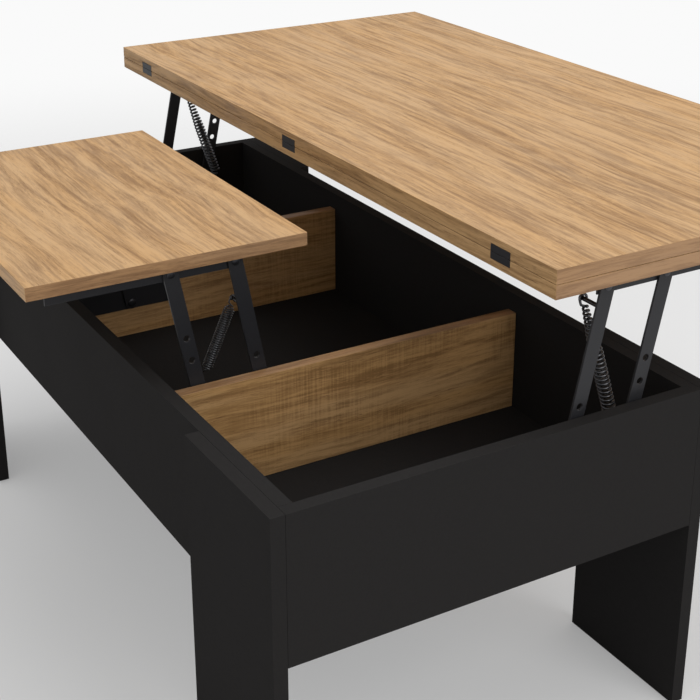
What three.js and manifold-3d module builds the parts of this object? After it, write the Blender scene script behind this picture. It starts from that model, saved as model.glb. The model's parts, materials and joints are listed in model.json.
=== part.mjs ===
// Lift top coffee table: a black storage case on four corner planks, a double leaf top and a small lid.
// The model stands on z = 0 with both lifts raised and the folding leaf shut. X runs along the table,
// the big top rises towards +Y and the small lid towards -Y. All sizes are in millimetres.
import * as THREE from 'three';
import { mergeVertices } from 'three/addons/utils/BufferGeometryUtils.js';
import Module from 'manifold-3d';

const wasm = await Module();
wasm.setup();

// ---- Driving dimensions -------------------------------------------------------------------------

const FIT_GAP = 0.3; // between boards and between seated pieces
const SLIDE_GAP = 0.5; // between metal pieces that turn past each other
const SEGMENTS = 12; // sides of a round hole or rivet
const CORNER_STEPS = 3; // facets of a rounded corner

// Case
const BOARD = 16;
const CASE_LENGTH = 1112;
const CASE_WIDTH = 548; // over the corner planks
const CASE_TOP = 421; // height of the rim above the floor
const CASE_DEPTH = 172; // height of the end and side panels
const LEG_WIDTH = 190;
const END_COMPARTMENT = 301; // clear length between an end panel and its divider
const DIVIDER_DROP = 24; // divider tops below the rim
const GLIDE = { length: 150, width: 10, thickness: 2 };

// Lids
const LEAF_THICKNESS = 16;
const LEAF_OVERHANG = 2; // past the case on every side when shut
const LEAF_GAP = 0.5; // between the two folded leaves
const SMALL_LID_WIDTH = 330;
const SMALL_LID_THICKNESS = 16;
const SMALL_LID_OFFSET = 30; // shut lid's middle from the case's middle, towards +Y
const LID_REST_GAP = 0.3; // under a shut lid

// Flush hinges between the leaves
const HINGE = { length: 34, height: 8, thickness: 2, cornerRadius: 1 };
const HINGE_END_DISTANCE = 94; // middle of the outer hinges from the leaf's ends

// Lift mechanisms
const PIVOT_SPACING = 79;
const ARM = { width: 18, thickness: 3 };
const BASE_PLATE = { thickness: 2.5, height: 76, innerMargin: 64, footMargin: 10 };
const BASE_CORNER_RADIUS = 6;
const PLATE_SCREW_RADIUS = 2.2;
const PLATE_SCREW_INSET = 12;
const RAIL = { web: 18, flange: 18, thickness: 2 };
const RAIL_SCREW_RADIUS = 2.2;
const TOP_PIVOT_DROP = 10; // top pivots under the lid
const RIVET = { shankRadius: 3, headRadius: 6, headThickness: 2, domeShare: 0.72 };
const RIVET_BACK = { radius: 4.6, thickness: 0.8 };
const RIVET_HOLE_RADIUS = RIVET.shankRadius + FIT_GAP;
const SPRING_LAYER = 36; // spring axis from the board that carries the mechanism
const STUD = { radius: 2.5, collarRadius: 3.6, collarThickness: 1.5, past: 2.5 }; // shank past that axis
const HOOK_OPENING = 120; // degrees left open in a spring's end hook
const WIRE_SIDES = 5;
const WIRE_STEP = 2.8; // straight stretches of the spring wire
const ARC_DIVISIONS_PER_TURN = 60;

const BIG_LIFT = {
  name: 'big',
  armLength: 292.5,
  lean: 12.1, // degrees past upright when raised
  pivotHeight: 11, // base pivots above the bottom panel
  sideDistance: 93.7, // outer base pivot from the side panel it rises over
  towards: 1, // raised side, +Y
  railLength: 300,
  railEnd: 12, // rail past the inner top pivot
  plateMargin: 64, // base plate past the outer pivot
  outerArmHoles: [196, 169], // from the base pivot
  innerArmHoles: [158.5],
  holeRadius: 4,
  springFoot: [44.2, 59], // stud on the base plate, past and above the outer pivot
  springHead: 268, // stud on the inner arm, from its base pivot
  spring: { wire: 1.5, coil: 6.7, turns: 12, lowHook: 58, highHook: 14 },
};

const SMALL_LIFT = {
  name: 'small',
  armLength: 223,
  lean: 10.9,
  pivotHeight: 52,
  sideDistance: 64.7,
  towards: -1, // raised side, -Y
  railLength: 232,
  railEnd: 10,
  plateMargin: 35,
  outerArmHoles: [141, 112.5],
  innerArmHoles: [100.5],
  holeRadius: 4,
  springFoot: [18.8, 13],
  springHead: 163,
  spring: { wire: 0.9, coil: 6, turns: 9, lowHook: 74, highHook: 9 },
};

// ---- Places worked out from them ----------------------------------------------------------------

const DEGREE = Math.PI / 180;
const CASE_BOTTOM = CASE_TOP - CASE_DEPTH;
const FLOOR_TOP = CASE_BOTTOM + BOARD;
const HALF_LENGTH = CASE_LENGTH / 2;
const HALF_WIDTH = CASE_WIDTH / 2;
const END_FACE = HALF_LENGTH - BOARD; // inner face of an end panel
const SIDE_OUTER = HALF_WIDTH - BOARD - FIT_GAP; // outer face of a side panel
const SIDE_FACE = SIDE_OUTER - BOARD; // inner face of a side panel
const DIVIDER_OUTER = END_FACE - END_COMPARTMENT; // divider face towards its end panel
const DIVIDER_INNER = DIVIDER_OUTER - BOARD; // divider face towards the middle compartment
const DIVIDER_TOP = CASE_TOP - DIVIDER_DROP;

const LEAF_LENGTH = CASE_LENGTH + 2 * LEAF_OVERHANG;
const LEAF_WIDTH = CASE_WIDTH + 2 * LEAF_OVERHANG;
const SMALL_LID_LENGTH = 2 * DIVIDER_OUTER;

// Where a lift stands: its arms turn about the base pivots from shut to raised, and the lid stays level.
function liftPlan(lift, shutUnderside) {
  const basePivotZ = FLOOR_TOP + lift.pivotHeight;
  const shutPivotZ = shutUnderside - TOP_PIVOT_DROP;
  const shutAngle = Math.asin((shutPivotZ - basePivotZ) / lift.armLength);
  const lean = lift.lean * DEGREE;
  const rise = lift.armLength * (Math.cos(lean) - Math.sin(shutAngle));
  const reach = lift.armLength * (Math.sin(lean) + Math.cos(shutAngle));
  const outerPivotY = lift.towards * (SIDE_FACE - lift.sideDistance);
  const innerPivotY = outerPivotY - lift.towards * PIVOT_SPACING;
  const topShiftY = lift.towards * lift.armLength * Math.sin(lean);
  return {
    basePivotZ,
    outerPivotY,
    innerPivotY,
    outerTopY: outerPivotY + topShiftY,
    innerTopY: innerPivotY + topShiftY,
    topPivotZ: basePivotZ + lift.armLength * Math.cos(lean),
    armAngle: Math.PI / 2 - lift.towards * lean,
    underside: shutUnderside + rise,
    shiftY: lift.towards * reach,
  };
}

const bigPlan = liftPlan(BIG_LIFT, CASE_TOP + LID_REST_GAP);
const smallPlan = liftPlan(SMALL_LIFT, DIVIDER_TOP + LID_REST_GAP);

const LEAF_LEFT = bigPlan.shiftY - LEAF_WIDTH / 2;
const LEAF_RIGHT = LEAF_LEFT + LEAF_WIDTH;
const SMALL_LID_MIDDLE = SMALL_LID_OFFSET + smallPlan.shiftY;
const SMALL_LID_LEFT = SMALL_LID_MIDDLE - SMALL_LID_WIDTH / 2;
const SEAM_Z = bigPlan.underside + LEAF_THICKNESS + LEAF_GAP / 2;

// ---- Finishes -----------------------------------------------------------------------------------

const FINISHES = {
  blackBoard: { color: 0x1d1c1d, roughness: 0.62, metalness: 0 },
  oak: { color: 0xb98a52, roughness: 0.55, metalness: 0 },
  blackSteel: { color: 0x232327, roughness: 0.42, metalness: 0.6 },
  springSteel: { color: 0x34353a, roughness: 0.3, metalness: 0.9 },
  rivetSteel: { color: 0x3a3a40, roughness: 0.35, metalness: 0.8 },
  glideFelt: { color: 0x161616, roughness: 0.95, metalness: 0 },
};

// ---- Helpers ------------------------------------------------------------------------------------

const table = new THREE.Group();

function piece(name, geometry, finish, place = new THREE.Vector3()) {
  const mesh = new THREE.Mesh(geometry, new THREE.MeshStandardMaterial(FINISHES[finish]));
  mesh.name = name;
  mesh.position.copy(place);
  table.add(mesh);
  return mesh;
}

// A solid for joining and cutting, from a closed geometry.
function solid(geometry) {
  const bare = geometry.index ? geometry.toNonIndexed() : geometry.clone();
  bare.deleteAttribute('normal');
  bare.deleteAttribute('uv');
  const merged = mergeVertices(bare, 1e-4);
  const vertProperties = new Float32Array(merged.attributes.position.array);
  const triVerts = new Uint32Array(merged.index.array);
  return new wasm.Manifold(new wasm.Mesh({ numProp: 3, vertProperties, triVerts }));
}

function geometryOf(body) {
  const mesh = body.getMesh();
  const geometry = new THREE.BufferGeometry();
  geometry.setAttribute('position', new THREE.BufferAttribute(mesh.vertProperties, 3));
  geometry.setIndex(new THREE.BufferAttribute(mesh.triVerts, 1));
  return geometry;
}

function cut(geometry, tools) {
  let body = solid(geometry);
  for (const tool of tools) {
    body = body.subtract(solid(tool));
  }
  return geometryOf(body);
}

// A box between two opposite corners.
function boxBetween(corner, opposite) {
  const corners = [new THREE.Vector3(...corner), new THREE.Vector3(...opposite)];
  const bounds = new THREE.Box3().setFromPoints(corners);
  const size = bounds.getSize(new THREE.Vector3());
  const middle = bounds.getCenter(new THREE.Vector3());
  return new THREE.BoxGeometry(size.x, size.y, size.z).translate(middle.x, middle.y, middle.z);
}

function board(name, finish, corner, opposite) {
  return piece(name, boxBetween(corner, opposite), finish);
}

// A flat outline drawn in (Y, Z), thickened along +X.
function sheetYZ(shape, thickness) {
  const options = { depth: thickness, bevelEnabled: false, curveSegments: SEGMENTS / 2 };
  const basis = new THREE.Matrix4().makeBasis(
    new THREE.Vector3(0, 1, 0),
    new THREE.Vector3(0, 0, 1),
    new THREE.Vector3(1, 0, 0),
  );
  return new THREE.ExtrudeGeometry(shape, options).applyMatrix4(basis);
}

function roundHole(x, y, radius) {
  return new THREE.Path().absarc(x, y, radius, 0, 2 * Math.PI, true);
}

// A rectangle with rounded corners between its low corner (x0, y0) and its high corner (x1, y1).
function roundedRectangle(x0, y0, x1, y1, radius) {
  const centres = [
    [x1 - radius, y0 + radius],
    [x1 - radius, y1 - radius],
    [x0 + radius, y1 - radius],
    [x0 + radius, y0 + radius],
  ];
  const corners = [];
  centres.forEach(([x, y], quarter) => {
    for (let step = 0; step <= CORNER_STEPS; step += 1) {
      const angle = (quarter - 1 + step / CORNER_STEPS) * Math.PI / 2;
      corners.push(new THREE.Vector2(x + radius * Math.cos(angle), y + radius * Math.sin(angle)));
    }
  });
  return new THREE.Shape(corners);
}

// ---- Case ---------------------------------------------------------------------------------------

function buildCase() {
  const ends = [['front', 1], ['rear', -1]];
  const sides = [['left', -1], ['right', 1]];
  for (const [end, sign] of ends) {
    const panelX = sign * (HALF_LENGTH - BOARD / 2);
    const panelHalfWidth = HALF_WIDTH - BOARD - FIT_GAP;
    board(`${end}_end_panel`, 'blackBoard',
      [panelX - BOARD / 2, -panelHalfWidth, CASE_BOTTOM],
      [panelX + BOARD / 2, panelHalfWidth, CASE_TOP]);
    const dividerX = sign * (DIVIDER_OUTER - BOARD / 2);
    board(`${end}_divider`, 'oak',
      [dividerX - BOARD / 2, -SIDE_FACE + FIT_GAP, FLOOR_TOP + FIT_GAP],
      [dividerX + BOARD / 2, SIDE_FACE - FIT_GAP, DIVIDER_TOP]);
    for (const [side, turn] of sides) {
      buildLeg(`${end}_${side}`, sign, turn);
    }
  }
  for (const [side, turn] of sides) {
    const middleY = turn * (SIDE_OUTER - BOARD / 2);
    board(`${side}_side_panel`, 'blackBoard',
      [-END_FACE + FIT_GAP, middleY - BOARD / 2, CASE_BOTTOM],
      [END_FACE - FIT_GAP, middleY + BOARD / 2, CASE_TOP]);
  }
  board('bottom_panel', 'blackBoard',
    [-END_FACE + FIT_GAP, -SIDE_FACE + FIT_GAP, CASE_BOTTOM],
    [END_FACE - FIT_GAP, SIDE_FACE - FIT_GAP, FLOOR_TOP]);
}

// A corner plank on the outside of a side panel, with a glide under its foot.
function buildLeg(corner, sign, turn) {
  const middleY = turn * (HALF_WIDTH - BOARD / 2);
  board(`leg_${corner}`, 'blackBoard',
    [sign * HALF_LENGTH, middleY - BOARD / 2, GLIDE.thickness],
    [sign * (HALF_LENGTH - LEG_WIDTH), middleY + BOARD / 2, CASE_TOP]);
  const middleX = sign * (HALF_LENGTH - LEG_WIDTH / 2);
  board(`glide_${corner}`, 'glideFelt',
    [middleX - GLIDE.length / 2, middleY - GLIDE.width / 2, 0],
    [middleX + GLIDE.length / 2, middleY + GLIDE.width / 2, GLIDE.thickness - FIT_GAP]);
}

// ---- Lids ---------------------------------------------------------------------------------------

const hingePlaces = [
  ['front', LEAF_LENGTH / 2 - HINGE_END_DISTANCE],
  ['middle', 0],
  ['rear', HINGE_END_DISTANCE - LEAF_LENGTH / 2],
];

function buildLeaf(name, bottomZ, recessLowZ, recessHighZ) {
  const slab = boxBetween(
    [-LEAF_LENGTH / 2, LEAF_LEFT, bottomZ],
    [LEAF_LENGTH / 2, LEAF_RIGHT, bottomZ + LEAF_THICKNESS],
  );
  const halfRecess = HINGE.length / 2 + FIT_GAP;
  const recesses = hingePlaces.map(([, x]) => boxBetween(
    [x - halfRecess, LEAF_LEFT - BOARD, recessLowZ],
    [x + halfRecess, LEAF_LEFT + HINGE.thickness + FIT_GAP, recessHighZ],
  ));
  return piece(name, cut(slab, recesses), 'oak');
}

// One half of a flush hinge, let into a leaf's edge beside the seam.
function buildHingeHalf(name, x, lowZ) {
  const outline = roundedRectangle(-HINGE.length / 2, 0, HINGE.length / 2, HINGE.height, HINGE.cornerRadius);
  const options = { depth: HINGE.thickness, bevelEnabled: false };
  const plate = new THREE.ExtrudeGeometry(outline, options).rotateX(Math.PI / 2);
  piece(name, plate, 'blackSteel', new THREE.Vector3(x, LEAF_LEFT + HINGE.thickness, lowZ));
}

function buildBigTop() {
  const halfGap = LEAF_GAP / 2;
  const lowerTop = SEAM_Z - halfGap;
  const upperBottom = SEAM_Z + halfGap;
  const recessDepth = HINGE.height + FIT_GAP;
  buildLeaf('lower_leaf', bigPlan.underside, lowerTop - recessDepth, lowerTop + BOARD);
  buildLeaf('upper_leaf', upperBottom, upperBottom - BOARD, upperBottom + recessDepth);
  for (const [place, x] of hingePlaces) {
    buildHingeHalf(`hinge_${place}_lower`, x, lowerTop - HINGE.height);
    buildHingeHalf(`hinge_${place}_upper`, x, upperBottom);
  }
}

function buildSmallLid() {
  board('small_lid', 'oak',
    [-SMALL_LID_LENGTH / 2, SMALL_LID_LEFT, smallPlan.underside],
    [SMALL_LID_LENGTH / 2, SMALL_LID_LEFT + SMALL_LID_WIDTH, smallPlan.underside + SMALL_LID_THICKNESS]);
}

// ---- Lift mechanisms ----------------------------------------------------------------------------

// Distances of the layers from the board that carries the mechanism.
const PLATE_BACK = FIT_GAP;
const ARM_BACK = PLATE_BACK + BASE_PLATE.thickness + SLIDE_GAP;
const ARM_FRONT = ARM_BACK + ARM.thickness;
const WEB_BACK = ARM_FRONT + SLIDE_GAP;
const WEB_FRONT = WEB_BACK + RAIL.thickness;

// A plate cut from sheet, with a stud for a spring welded to it at (y, z) and standing inward from it.
function plateWithStud(plate, thickness, layer, inward, y, z) {
  const shankEnd = SPRING_LAYER + STUD.past - layer;
  const end = shankEnd + STUD.collarThickness;
  const profile = [[0, 0], [STUD.radius, 0], [STUD.radius, shankEnd], [STUD.collarRadius, shankEnd]];
  profile.push([STUD.collarRadius, end], [0, end]);
  const stud = new THREE.LatheGeometry(profile.map(([r, x]) => new THREE.Vector2(r, x)), SEGMENTS);
  stud.rotateZ(-inward * Math.PI / 2).translate(inward > 0 ? 0 : thickness, y, z);
  return geometryOf(solid(plate).add(solid(stud)));
}

function armGeometry(lift, holes) {
  const half = ARM.width / 2;
  const shape = new THREE.Shape();
  shape.absarc(0, 0, half, Math.PI / 2, 1.5 * Math.PI, false);
  shape.absarc(lift.armLength, 0, half, -Math.PI / 2, Math.PI / 2, false);
  shape.holes.push(roundHole(0, 0, RIVET_HOLE_RADIUS));
  shape.holes.push(roundHole(lift.armLength, 0, RIVET_HOLE_RADIUS));
  for (const distance of holes) {
    shape.holes.push(roundHole(distance, 0, lift.holeRadius));
  }
  return sheetYZ(shape, ARM.thickness);
}

function basePlateGeometry(lift) {
  const outer = lift.towards * lift.plateMargin;
  const inner = -lift.towards * (PIVOT_SPACING + BASE_PLATE.innerMargin);
  const y0 = Math.min(outer, inner);
  const y1 = Math.max(outer, inner);
  const z0 = -BASE_PLATE.footMargin;
  const z1 = z0 + BASE_PLATE.height;
  const shape = roundedRectangle(y0, z0, y1, z1, BASE_CORNER_RADIUS);
  shape.holes.push(roundHole(0, 0, RIVET_HOLE_RADIUS));
  shape.holes.push(roundHole(-lift.towards * PIVOT_SPACING, 0, RIVET_HOLE_RADIUS));
  for (const y of [y0 + PLATE_SCREW_INSET, (y0 + y1) / 2, y1 - PLATE_SCREW_INSET]) {
    shape.holes.push(roundHole(y, z1 - PLATE_SCREW_INSET, PLATE_SCREW_RADIUS));
  }
  return sheetYZ(shape, BASE_PLATE.thickness);
}

// The angle rail under a lid: a web that the arms turn on and a flange screwed to the lid.
// It is drawn with the inner top pivot at y = 0, and its flange points inward, +1 or -1 along X.
function railGeometry(lift, inward) {
  const nearEnd = -lift.towards * lift.railEnd;
  const farEnd = nearEnd + lift.towards * lift.railLength;
  const top = TOP_PIVOT_DROP - FIT_GAP;
  const web = solid(boxBetween([0, nearEnd, top - RAIL.web], [inward * RAIL.thickness, farEnd, top]));
  const flange = solid(boxBetween([0, nearEnd, top - RAIL.thickness], [inward * RAIL.flange, farEnd, top]));
  let rail = web.add(flange);
  for (const y of [0, lift.towards * PIVOT_SPACING]) {
    const hole = new THREE.CylinderGeometry(RIVET_HOLE_RADIUS, RIVET_HOLE_RADIUS, RAIL.web, SEGMENTS);
    rail = rail.subtract(solid(hole.rotateZ(Math.PI / 2).translate(0, y, 0)));
  }
  const screwX = inward * (RAIL.thickness + RAIL.flange) / 2;
  for (const y of railScrewPlaces(lift)) {
    const hole = new THREE.CylinderGeometry(RAIL_SCREW_RADIUS, RAIL_SCREW_RADIUS, RAIL.web, SEGMENTS);
    rail = rail.subtract(solid(hole.rotateX(Math.PI / 2).translate(screwX, y, top)));
  }
  return geometryOf(rail);
}

// Screws stand beside the two pivots and near the rail's far end, measured from the inner top pivot.
function railScrewPlaces(lift) {
  const farEnd = lift.railLength - lift.railEnd;
  const beside = PIVOT_SPACING / 4;
  return [beside, PIVOT_SPACING + beside, farEnd - beside].map((y) => lift.towards * y);
}

// A rivet along +X from x = 0, with its front head past the stack and an optional thin head behind it.
function rivetGeometry(stack, back) {
  const { shankRadius, headRadius, headThickness, domeShare } = RIVET;
  const profile = [new THREE.Vector2(0, back ? -back.thickness : 0)];
  if (back) {
    profile.push(new THREE.Vector2(back.radius, -back.thickness));
    profile.push(new THREE.Vector2(back.radius, 0));
  }
  profile.push(new THREE.Vector2(shankRadius, 0));
  profile.push(new THREE.Vector2(shankRadius, stack));
  profile.push(new THREE.Vector2(headRadius, stack));
  profile.push(new THREE.Vector2(headRadius * domeShare, stack + headThickness));
  profile.push(new THREE.Vector2(0, stack + headThickness));
  return new THREE.LatheGeometry(profile, SEGMENTS).rotateZ(-Math.PI / 2);
}

// The wire of a tension spring, with an open hook round a stud at each end and the coil between them.
// The studs lie along X at z = 0 and z = span, and each hook's neck comes off the stud's -Y side.
class SpringWire extends THREE.Curve {
  constructor(span, spring) {
    super();
    this.span = span;
    this.spring = spring;
    this.coilSpan = span - spring.lowHook - spring.highHook;
    this.hookRadius = STUD.radius + 2 * FIT_GAP + spring.wire;
    this.hookTurn = 2 * Math.PI - HOOK_OPENING * DEGREE;
    const arc = this.hookRadius * this.hookTurn;
    const helix = Math.hypot(2 * Math.PI * spring.coil * spring.turns, this.coilSpan);
    this.stretches = [arc, spring.lowHook, helix, spring.highHook, arc];
    this.total = this.stretches.reduce((sum, each) => sum + each, 0);
    this.arcLengthDivisions = ARC_DIVISIONS_PER_TURN * spring.turns;
  }

  // A point on a neck, from its stud's side at share 0 to the start of the coil at share 1.
  neck(target, share, z) {
    const blend = share * share * (3 - 2 * share);
    return target.set(this.spring.coil * blend, -this.hookRadius * (1 - blend), z);
  }

  getPoint(t, target = new THREE.Vector3()) {
    const { span, spring, coilSpan, hookRadius, hookTurn } = this;
    const [arc, lowNeck, helix, highNeck] = this.stretches;
    let along = t * this.total;
    if (along < arc) {
      const angle = Math.PI + hookTurn * (1 - along / arc);
      return target.set(0, hookRadius * Math.cos(angle), hookRadius * Math.sin(angle));
    }
    along -= arc;
    if (along < lowNeck) {
      return this.neck(target, along / lowNeck, along);
    }
    along -= lowNeck;
    if (along < helix) {
      const share = along / helix;
      const angle = 2 * Math.PI * spring.turns * share;
      const z = spring.lowHook + coilSpan * share;
      return target.set(spring.coil * Math.cos(angle), spring.coil * Math.sin(angle), z);
    }
    along -= helix;
    if (along < highNeck) {
      return this.neck(target, 1 - along / highNeck, span - spring.highHook + along);
    }
    const angle = Math.PI - hookTurn * (along - highNeck) / arc;
    return target.set(0, hookRadius * Math.cos(angle), span + hookRadius * Math.sin(angle));
  }
}

function wireSection(radius) {
  const corners = [];
  for (let side = 0; side < WIRE_SIDES; side += 1) {
    const angle = 2 * Math.PI * side / WIRE_SIDES;
    corners.push(new THREE.Vector2(radius * Math.cos(angle), radius * Math.sin(angle)));
  }
  return new THREE.Shape(corners);
}

function springGeometry(lift, span) {
  const wire = new SpringWire(span, lift.spring);
  const steps = Math.round(wire.total / WIRE_STEP);
  return new THREE.ExtrudeGeometry(wireSection(lift.spring.wire), { steps, extrudePath: wire });
}

// One mechanism on a board: faceX is the board's face, and inward the way into the compartment.
function buildMechanism(lift, plan, end, faceX, inward) {
  const label = `${lift.name}_${end}`;
  const at = (layer) => faceX + inward * layer;
  const lowerX = (back, front) => Math.min(at(back), at(front));
  const direction = new THREE.Vector2(Math.cos(plan.armAngle), Math.sin(plan.armAngle));

  const [past, above] = lift.springFoot;
  const footY = lift.towards * past;
  const plate = plateWithStud(
    basePlateGeometry(lift), BASE_PLATE.thickness, PLATE_BACK, inward, footY, above,
  );
  const plateX = lowerX(PLATE_BACK, PLATE_BACK + BASE_PLATE.thickness);
  piece(`${label}_base_plate`, plate, 'blackSteel',
    new THREE.Vector3(plateX, plan.outerPivotY, plan.basePivotZ));

  const outerArm = armGeometry(lift, lift.outerArmHoles);
  const innerArm = plateWithStud(
    armGeometry(lift, lift.innerArmHoles), ARM.thickness, ARM_BACK, inward, lift.springHead, 0,
  );
  const arms = [
    ['outer', plan.outerPivotY, plan.outerTopY, outerArm],
    ['inner', plan.innerPivotY, plan.innerTopY, innerArm],
  ];
  for (const [which, baseY, topY, armShape] of arms) {
    const arm = piece(`${label}_${which}_arm`, armShape, 'blackSteel',
      new THREE.Vector3(lowerX(ARM_BACK, ARM_FRONT), baseY, plan.basePivotZ));
    arm.rotation.x = plan.armAngle;

    const baseRivet = rivetGeometry(ARM_FRONT + FIT_GAP - PLATE_BACK);
    const topRivet = rivetGeometry(WEB_FRONT - ARM_BACK + 2 * FIT_GAP, RIVET_BACK);
    const rivets = [
      ['base', baseRivet, PLATE_BACK, baseY, plan.basePivotZ],
      ['top', topRivet, ARM_BACK - FIT_GAP, topY, plan.topPivotZ],
    ];
    for (const [level, geometry, layer, y, z] of rivets) {
      const rivet = piece(`${label}_${which}_${level}_rivet`, geometry, 'rivetSteel',
        new THREE.Vector3(at(layer), y, z));
      rivet.rotation.y = inward > 0 ? 0 : Math.PI;
    }
  }

  piece(`${label}_top_rail`, railGeometry(lift, inward), 'blackSteel',
    new THREE.Vector3(at(WEB_BACK), plan.innerTopY, plan.topPivotZ));

  const foot = new THREE.Vector2(plan.outerPivotY + footY, plan.basePivotZ + above);
  const head = direction.multiplyScalar(lift.springHead);
  head.add(new THREE.Vector2(plan.innerPivotY, plan.basePivotZ));
  const line = head.sub(foot);
  const spring = piece(`${label}_spring`, springGeometry(lift, line.length()), 'springSteel',
    new THREE.Vector3(at(SPRING_LAYER), foot.x, foot.y));
  spring.rotation.x = Math.atan2(-line.x, line.y);
}

// ---- Assembly -----------------------------------------------------------------------------------

buildCase();
buildBigTop();
buildSmallLid();
buildMechanism(BIG_LIFT, bigPlan, 'front', END_FACE, -1);
buildMechanism(BIG_LIFT, bigPlan, 'rear', -END_FACE, 1);
buildMechanism(SMALL_LIFT, smallPlan, 'front', DIVIDER_INNER, -1);
buildMechanism(SMALL_LIFT, smallPlan, 'rear', -DIVIDER_INNER, 1);

// The origin lies on the floor under the middle of the opened table.
table.position.y = -(SMALL_LID_LEFT + LEAF_RIGHT) / 2;

export default table;
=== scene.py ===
"""Lift top coffee table: a black case on corner planks, an oak double leaf top and an oak small lid.

Both lids stand raised on sprung parallel arms. Sizes are in metres. X runs along the table,
the big top rises towards +Y and the small lid towards -Y.
"""

import json
import math
from typing import NamedTuple

import bmesh
import bpy
from bpy.props import (
    FloatProperty,
    FloatVectorProperty,
    IntProperty,
    IntVectorProperty,
    PointerProperty,
)
from mathutils import Matrix, Vector


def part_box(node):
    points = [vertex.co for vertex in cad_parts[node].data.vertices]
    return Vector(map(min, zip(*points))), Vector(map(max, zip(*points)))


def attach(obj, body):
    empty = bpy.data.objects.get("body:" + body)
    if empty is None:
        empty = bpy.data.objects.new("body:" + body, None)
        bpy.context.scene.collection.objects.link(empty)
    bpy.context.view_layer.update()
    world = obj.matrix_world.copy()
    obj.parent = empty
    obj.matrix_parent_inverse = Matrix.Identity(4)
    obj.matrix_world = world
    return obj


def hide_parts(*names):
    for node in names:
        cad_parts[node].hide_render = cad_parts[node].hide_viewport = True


bl_info = {
    "name": "Lift Top Coffee Table",
    "version": (1, 0, 0),
    "blender": (4, 5, 0),
    "location": "3D View > Sidebar > Lift Table",
    "description": "Builds a lift top coffee table with two raised lids, their arms and springs",
    "category": "Add Mesh",
}

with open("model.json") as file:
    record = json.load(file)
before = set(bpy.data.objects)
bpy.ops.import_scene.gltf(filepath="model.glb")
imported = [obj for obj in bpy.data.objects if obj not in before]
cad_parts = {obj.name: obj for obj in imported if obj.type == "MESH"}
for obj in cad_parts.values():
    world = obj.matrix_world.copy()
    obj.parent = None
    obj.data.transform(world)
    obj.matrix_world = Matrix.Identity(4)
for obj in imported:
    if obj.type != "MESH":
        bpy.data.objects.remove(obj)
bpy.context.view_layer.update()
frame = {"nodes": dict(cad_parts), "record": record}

BODY_OF = {
    node: body
    for body, members in frame["record"]["behaviour"]["bodies"].items()
    for node in members
}

LIFTS = ("big", "small")
ENDS = ("front", "rear")
INWARD = {"front": -1, "rear": 1}  # along X, from an end board into the case
TOWARDS = {"big": 1, "small": -1}  # along Y, from the shut lid to the raised one
ARMS = ("outer", "inner")

BLACK_BOARDS = (
    "front_end_panel", "rear_end_panel", "left_side_panel", "right_side_panel", "bottom_panel",
)
DIVIDERS = ("front_divider", "rear_divider")
CORNERS = ("front_left", "front_right", "rear_left", "rear_right")
LEAVES = ("lower_leaf", "upper_leaf")
HINGES = tuple(
    f"hinge_{place}_{half}" for place in ("front", "middle", "rear") for half in ("lower", "upper"))

HOLE_SIDES = 40
CORNER_SIDES = 8
LATHE_SIDES = 32
SPIRAL_STEPS = 24
NECK_STEPS = 14
HOOK_STEPS = 20
WIRE_SIDES = 8

X_AXIS, Y_AXIS, Z_AXIS = Matrix.Identity(3)
MERGE_GAP = 1e-6
BOARD_MERGE_GAP = 1e-5
FLAT_ANGLE = math.radians(1)
SHEET_SHARP = math.radians(18)
TURNED_SHARP = math.radians(35)
RAIL_SHARP = math.radians(40)
WIRE_SHARP = math.radians(60)
CROSS_TURN = math.pi / 3  # a screw's cross stands up to this far from upright, either way
WHITE = (1.0, 1.0, 1.0, 1.0)

# Noise grains of the oak decor for each metre: along the grain, then twice across it.
OAK_GRAINS = {
    "tones": (1.1, 15.0, 15.0),
    "streaks": (3.4, 78.0, 78.0),
    "fibres": (9.0, 170.0, 170.0),
    "contours": (1.3, 8.5, 8.5),
    "contour patches": (1.8, 8.0, 8.0),
    "saw lines": (420.0, 16.0, 16.0),
    "saw patches": (7.0, 14.0, 14.0),
    "pores": (70.0, 1300.0, 1300.0),
    "warm patches": (2.6, 30.0, 30.0),
}
CONTOUR_LINES = 120.0
WARM_TINT = (1.0, 0.955, 0.85, 1.0)
OAK_RELIEF = 0.0002
OAK_SPECULAR = 0.35


class DarkFinish(NamedTuple):
    """What sets one dark finish apart from the others."""

    colour: str  # name of its setting
    roughness: float
    metallic: float
    grain: tuple  # noise grains for each metre
    relief: float
    swing: float  # of the roughness under handling marks
    # The next two fields give the tone and share of the wear and painted highlight on the eased edges.
    wear_and_highlight_tone: tuple
    wear_and_highlight_share: float
    specular: float = 0.3
    contrast: float = 1.35  # of the lighter grains


DARK_FINISHES = {
    "black_melamine": DarkFinish(
        "board_colour", 0.7, 0.0, (120.0, 420.0, 420.0), 0.00004, 0.05,
        (0.04, 0.038, 0.037, 1.0), 0.5, 0.02, 1.08),
    "black_powder_coat": DarkFinish(
        "steel_colour", 0.42, 0.0, (1500.0, 1500.0, 1500.0), 0.00008, 0.12,
        (0.08, 0.08, 0.085, 1.0), 0.7),
    "spring_wire": DarkFinish(
        "spring_colour", 0.34, 1.0, (700.0, 700.0, 700.0), 0.00003, 0.15, (0.3, 0.3, 0.3, 1.0), 0.0),
    "blackened_rivet": DarkFinish(
        "rivet_colour", 0.34, 0.85, (900.0, 900.0, 900.0), 0.00004, 0.2, (0.2, 0.2, 0.2, 1.0), 0.0),
    "glide_plastic": DarkFinish(
        "glide_colour", 0.7, 0.0, (800.0, 800.0, 800.0), 0.0002, 0.15, (0.05, 0.05, 0.05, 1.0), 0.3),
}
# Each oak finish: how far its grain is turned from X, whether it wears the darker band colours, its saw
# marks.
# The darker band colours are painted shade on the end bands; the long bands keep the face colours as
# painted light.
OAK_FINISHES = {
    "oak_lengthwise": (0.0, False, 0.0),
    "oak_crosswise": (math.pi / 2, False, 0.5),
    "oak_band_lengthwise": (0.0, False, 0.0),
    "oak_band_crosswise": (math.pi / 2, True, 0.0),
}


# ---- Sizes and colours a user may change ----------------------------------------------------------


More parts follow.
